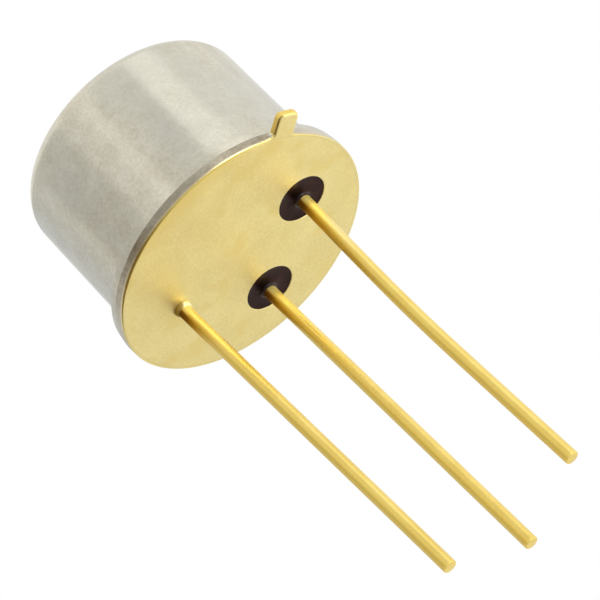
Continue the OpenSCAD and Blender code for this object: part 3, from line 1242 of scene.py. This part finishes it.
@dataclass
class SealBead:
    """Glass bead between a hole of the header and its lead."""

    name: str
    node: str
    hole_at: Pair
    lead_at: Pair
    hole_radius: float = HOLE_RADIUS
    lead_radius: float = LEAD_RADIUS
    bottom: float = 0.02
    top: float = 1.23
    climb: float = 0.12
    climb_width: float = 0.14
    hole_climb: float = 0.005
    hole_climb_width: float = 0.05
    dip: float = 0.012
    rows: int = 28
    crowding: float = 1.4
    steps: int = 96
    finish: Finish = SealGlass("brown_seal_glass")

    def face(self, level: float, facing: Facing) -> np.ndarray:
        """One face of the bead, from the lead to the hole.

        The glass climbs the lead by an exponential fall of the distance from it, three of whose
        lengths make the climb's width. It climbs the hole a little in the same way, and dips
        between them by half a sine wave. The rows crowd towards the lead.

        Args:
            level: Height of the face without its climb and dip.
            facing: Which way the face looks.

        Returns:
            Grid of points, lead first.
        """
        share = np.linspace(0.0, 1.0, self.rows) ** self.crowding
        ring = circle(1.0, (0.0, 0.0), self.steps)
        centre = np.outer(1 - share, self.lead_at) + np.outer(share, self.hole_at)
        radius = self.lead_radius * (1 - share) + self.hole_radius * share
        across = centre[:, None, :] + radius[:, None, None] * ring[None]
        span = self.hole_radius - self.lead_radius
        rise = self.climb * np.exp(-3.0 * share * span / self.climb_width)
        rise += self.hole_climb * np.exp(-(1 - share) * span / self.hole_climb_width)
        rise -= self.dip * np.sin(np.pi * share)
        height = level + facing.value * rise
        tall = np.broadcast_to(height[:, None, None], (*across.shape[:2], 1))
        return np.concatenate([across, tall], 2)

    def build(self) -> None:
        """Joins the lower face, the wall in the hole, the upper face and the bore for the lead."""
        lower = self.face(self.bottom, Facing.DOWN)
        upper = self.face(self.top, Facing.UP)
        loop = np.concatenate([lower, upper[::-1], lower[:1]])
        lay(self.name, [sheet(loop)], self.finish, Slot.SEAL_GLASS, self.node)


@dataclass
class Lead:
    """Round gold-plated wire that hangs from the header, gently bent towards +X."""

    name: str
    node: str
    at: Pair
    length: float
    lean: float
    bow: float = 0.0
    top: float = 1.85
    head: bool = True
    radius: float = LEAD_RADIUS
    head_radius: float = 0.40
    head_thickness: float = 0.15
    head_break: float = 0.03
    neck_break: float = 0.02
    shank_row: float = 0.6
    first_bend: Pair = (0.05, 0.55)
    bow_span: Pair = (3.4, 8.0)
    end_chamfer: float = 0.03
    end_round: float = 0.3
    samples: int = 120
    steps: int = 48
    finish: Finish = WireGold("drawn_gold_wire")

    def path(self) -> tuple[np.ndarray, np.ndarray, np.ndarray]:
        """Centre line below the header's underside.

        The lean grows evenly along each bend, and the sideways and downward steps are the sine
        and cosine of the lean, summed along the wire.

        Returns:
            Offsets towards +X, heights, and leans in radians.
        """
        run = np.linspace(max(0.0, -self.top), self.length, self.samples)
        lean = np.interp(run, self.first_bend, (0.0, self.lean))
        lean = np.radians(lean + np.interp(run, self.bow_span, (0.0, self.bow)))
        step = np.diff(run)
        middle = (lean[1:] + lean[:-1]) / 2
        aside = np.concatenate([[0.0], np.cumsum(np.sin(middle) * step)])
        down = run[0] + np.concatenate([[0.0], np.cumsum(np.cos(middle) * step)])
        return aside, -down, lean

    def rings(self) -> tuple[np.ndarray, np.ndarray, np.ndarray, np.ndarray]:
        """Offset, height, lean and radius of every ring of the wire, with its closed ends.

        Returns:
            Four arrays of the same length.
        """
        aside, height, lean = self.path()
        cut, small, tip = self.end_chamfer, self.end_round * self.end_chamfer, height[-1]
        end = np.array([self.radius - small, self.radius - cut, 0.0])
        top = self.head_rows() if self.head else np.array([[height[0], 0.0]])
        height = np.concatenate([top[:, 0], height[:-1], [tip + cut, tip + small, tip, tip]])
        radius = np.concatenate([top[:, 1], np.full(len(aside), self.radius), end])
        rows = (len(top), len(end))
        return np.pad(aside, rows, "edge"), height, np.pad(lean, rows, "edge"), radius

    def head_rows(self) -> np.ndarray:
        """Flat round head with broken edges, down to the wire's first row.

        Returns:
            Rows of height and radius, from the middle of the top.
        """
        neck, wide = self.top - self.head_thickness, self.head_radius
        return np.array([
            [self.top, 0.0],
            [self.top, wide - self.head_break],
            [self.top - self.head_break, wide],
            [neck + self.neck_break, wide],
            [neck, wide - self.neck_break],
            [neck, self.radius],
            [self.shank_row, self.radius],
        ])

    def build(self) -> None:
        """Carries a circle along the rings, square to the wire's lean."""
        aside, height, lean, radius = self.rings()
        angle = np.linspace(0.0, 2.0 * np.pi, self.steps, endpoint=False)[None, :]
        out = radius[:, None] * np.cos(angle)
        across = radius[:, None] * np.sin(angle)
        x = self.at[0] + aside[:, None] + out * np.cos(lean)[:, None]
        z = height[:, None] + out * np.sin(lean)[:, None]
        points = np.stack([x, self.at[1] + across, z], 2)
        lay(self.name, [sheet(points)], self.finish, Slot.LEAD_GOLD, self.node)


@dataclass
class Weld:
    """Bead of fused metal under the header, round the drain lead's end."""

    at: Pair = DRAIN_AT
    radius: float = 0.30
    core_radius: float = 0.18
    height: float = 0.16
    dish_radius: float = DISH_RADIUS
    dish_depth: float = DISH_DEPTH
    seat_rows: int = 8
    steps: int = 72
    # Painted shade and highlight: amber, shaded and the darkest colour shade the bead's side that
    # faces amber_way, and root is a painted highlight on its other side.
    finish: Finish = WireGold(
        "fused_weld_gold",
        light=(0.98, 0.86, 0.52),
        dark=(0.88, 0.72, 0.38),
        pale=(0.98, 0.88, 0.56),
        amber=(0.34, 0.19, 0.04),
        shaded=(0.50, 0.33, 0.09),
        root=(1.0, 0.94, 0.56),
        root_painted_shade=(0.44, 0.30, 0.06),
        root_shade_facing=(0.15, 0.45),
        roughness=0.32,
        line_rise=0.0004,
    )

    def profile(self) -> np.ndarray:
        """Half-outline: the seat on the dish's parabola and a bulge that narrows to the lead.

        Returns:
            Rows of radius and height.
        """
        out = np.linspace(0.0, self.radius, self.seat_rows)
        seat = np.stack([out, self.dish_depth * (1 - (out / self.dish_radius) ** 2)], 1)
        bulge = (self.radius - self.core_radius, self.height)
        return np.concatenate([
            seat[:-1],
            arc((self.core_radius, 0.0), bulge, (0, -90), 20),
            np.array([[0.0, -self.height]]),
        ])

    def build(self) -> None:
        """Turns the half-outline about the lead's axis."""
        lay("weld_bead", [turned(self.profile(), self.steps, self.at)], self.finish,
            Slot.WELD_GOLD, "drain_weld")


@dataclass
class Chip:
    """What the can holds: the die on its alloy, the pads and the bond wires."""

    alloy: Finish = PlainMetal(
        "die_attach_alloy",
        light=(0.80, 0.66, 0.38),
        dark=(0.62, 0.52, 0.33),
        roughness=0.35,
        cloud_per_mm=3.0,
        rise=0.004,
    )
    silicon: Finish = Silicon("polished_silicon")
    metal: Finish = PlainMetal(
        "bond_aluminium",
        light=(0.90, 0.91, 0.92),
        dark=(0.80, 0.81, 0.83),
        roughness=0.18,
        cloud_per_mm=8.0,
        rise=0.0008,
    )

    def build(self) -> None:
        """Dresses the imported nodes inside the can."""
        dress("die_attach", self.alloy)
        dress("die", self.silicon)
        for node in ("source_pad", "gate_pad", "source_wire", "gate_wire"):
            dress(node, self.metal)


# ---------------------------------------------------------------- studio


@dataclass(frozen=True)
class Panel:
    """A curved studio panel, a patch of a sphere about the object, which the camera doesn't see.

    Panels fainter than 1 are grey cards that give the metal its bands, and brighter ones are
    soft lamps. Azimuths are counted from +X and elevations from the level.
    """

    name: str
    azimuths: Pair
    elevations: Pair
    strength: float
    colour: Colour = (1.0, 1.0, 1.0)
    distance: float = 150.0
    rows: int = 17
    columns: int = 33

    def stand(self) -> None:
        """Builds the patch: distance times the unit vector of each azimuth and elevation."""
        azimuth = np.radians(np.linspace(*self.azimuths, self.columns))[None, :]
        elevation = np.radians(np.linspace(*self.elevations, self.rows))[:, None]
        level = np.ones_like(azimuth)
        points = self.distance * np.stack([
            np.cos(elevation) * np.cos(azimuth),
            np.cos(elevation) * np.sin(azimuth),
            np.sin(elevation) * level,
        ], 2)
        glow = PanelGlow(self.name + "_glow", self.colour, self.strength)
        put_up(self.name, sheet(points, closed=False), glow, hidden=True)


def put_up(name: str, patch: Patch, finish: Finish, hidden: bool) -> None:
    """Puts a piece of the studio into the scene.

    Args:
        name: The piece's name.
        patch: Its surface.
        finish: Its finish.
        hidden: Whether the camera and shadows leave it out.
    """
    mesh = bpy.data.meshes.new(name)
    mesh.from_pydata((patch.points * MM).tolist(), [], patch.faces[0].tolist())
    mesh.materials.append(finish.material())
    piece = bpy.data.objects.new(name, mesh)
    bpy.context.scene.collection.objects.link(piece)
    piece.visible_camera = not hidden
    piece.visible_shadow = not hidden
    log.info("studio: %s", name)


@dataclass
class Studio:
    """Pale floor, white surround, soft lamps, cards and the camera."""

    floor_height: float = -250.0
    floor_reach: float = 900.0
    floor_rows: int = 6
    floor_steps: int = 64
    plain_level: float = 0.75
    camera_at: Point = (-3.927, -74.024, -49.207)
    camera_right: Point = (0.7348, 0.33039, -0.59237)
    camera_up: Point = (0.67658, -0.41887, 0.60563)
    camera_clip: Pair = (1.0, 5000.0)
    lens: float = 170.313
    sensor: float = 36.0
    panels: tuple[Panel, ...] = (
        Panel("far_left_card", (106.0, 160.0), (5.0, 42.0), 0.70, (0.97, 1.0, 1.06)),
        Panel("mid_left_card", (160.0, 178.0), (5.0, 42.0), 0.74),
        Panel("left_card", (178.0, 229.0), (5.0, 41.0), 0.60),
        Panel("left_gap", (229.0, 251.0), (5.0, 40.0), 0.83),
        Panel("front_card", (265.0, 308.0), (5.0, 39.0), 0.765),
        Panel("low_left_card", (122.0, 225.0), (-85.0, -12.0), 1.0, (0.21, 0.150, 0.070)),
        Panel("dark_card", (-125.0, -66.0), (-52.0, -18.0), 0.60),
        Panel("key_lamp", (-60.0, -22.0), (-47.0, -23.0), 5.0),
        Panel("side_lamp", (-18.0, 60.0), (-52.0, -10.0), 1.5),
        Panel("right_lamp", (-52.0, -24.0), (5.0, 50.0), 1.20),
        Panel("right_card", (40.0, 75.0), (5.0, 42.0), 0.90),
    )

    def surround(self) -> None:
        """White for what the camera and shiny surfaces see, a plain level for all other light."""
        world = bpy.data.worlds.new("surround")
        world.use_nodes = True
        bpy.context.scene.world = world
        desk = Desk(world.node_tree)
        strength = desk.seen() * (1.0 - self.plain_level) + self.plain_level
        inputs = {"Color": (1.0, 1.0, 1.0, 1.0), "Strength": strength}
        desk.close(desk.node("ShaderNodeBackground", {}, inputs), "ShaderNodeOutputWorld")

    def floor(self) -> None:
        """Lays a round floor well below the leads: rings of points at one height."""
        out = np.linspace(0.0, self.floor_reach, self.floor_rows)
        profile = np.stack([out, np.full_like(out, self.floor_height)], 1)
        patch = turned(profile, self.floor_steps)
        put_up("floor", patch, FloorPaint("floor_paint"), hidden=False)

    def camera(self) -> None:
        """Sets the camera square to its right and up directions."""
        data = bpy.data.cameras.new("camera")
        data.lens = self.lens
        data.sensor_width = self.sensor
        data.clip_start, data.clip_end = (distance * MM for distance in self.camera_clip)
        right = Vector(self.camera_right).normalized()
        back = right.cross(Vector(self.camera_up)).normalized()
        pose = Matrix((right, back.cross(right), back)).transposed().to_4x4()
        camera = bpy.data.objects.new("camera", data)
        camera.matrix_world = Matrix.Translation(Vector(self.camera_at) * MM) @ pose
        bpy.context.scene.collection.objects.link(camera)
        bpy.context.scene.camera = camera

    def build(self) -> None:
        """Sets up everything round the object."""
        bpy.context.scene.view_settings.view_transform = "Standard"
        self.surround()
        self.floor()
        for panel in self.panels:
            panel.stand()
        self.camera()


def main() -> None:
    """Builds the pieces in the order in which the real part is put together."""
    logging.basicConfig(level=logging.INFO, format="%(message)s")
    Studio().build()
    Header().build()
    SealBead("source_bead", "source_seal", SOURCE_AT, SOURCE_AT).build()
    SealBead("gate_bead", "gate_seal", GATE_HOLE_AT, GATE_AT).build()
    Lead("source_leg", "source_lead", SOURCE_AT, length=13.0, lean=-0.96, bow=3.05).build()
    Lead("gate_leg", "gate_lead", GATE_AT, length=12.9, lean=1.62).build()
    drain = {"length": 12.9, "lean": 2.38, "top": -0.12, "head": False}
    Lead("drain_leg", "drain_lead", DRAIN_AT, **drain).build()
    Weld().build()
    Chip().build()
    Cap().build()


if __name__ == "__main__":
    main()
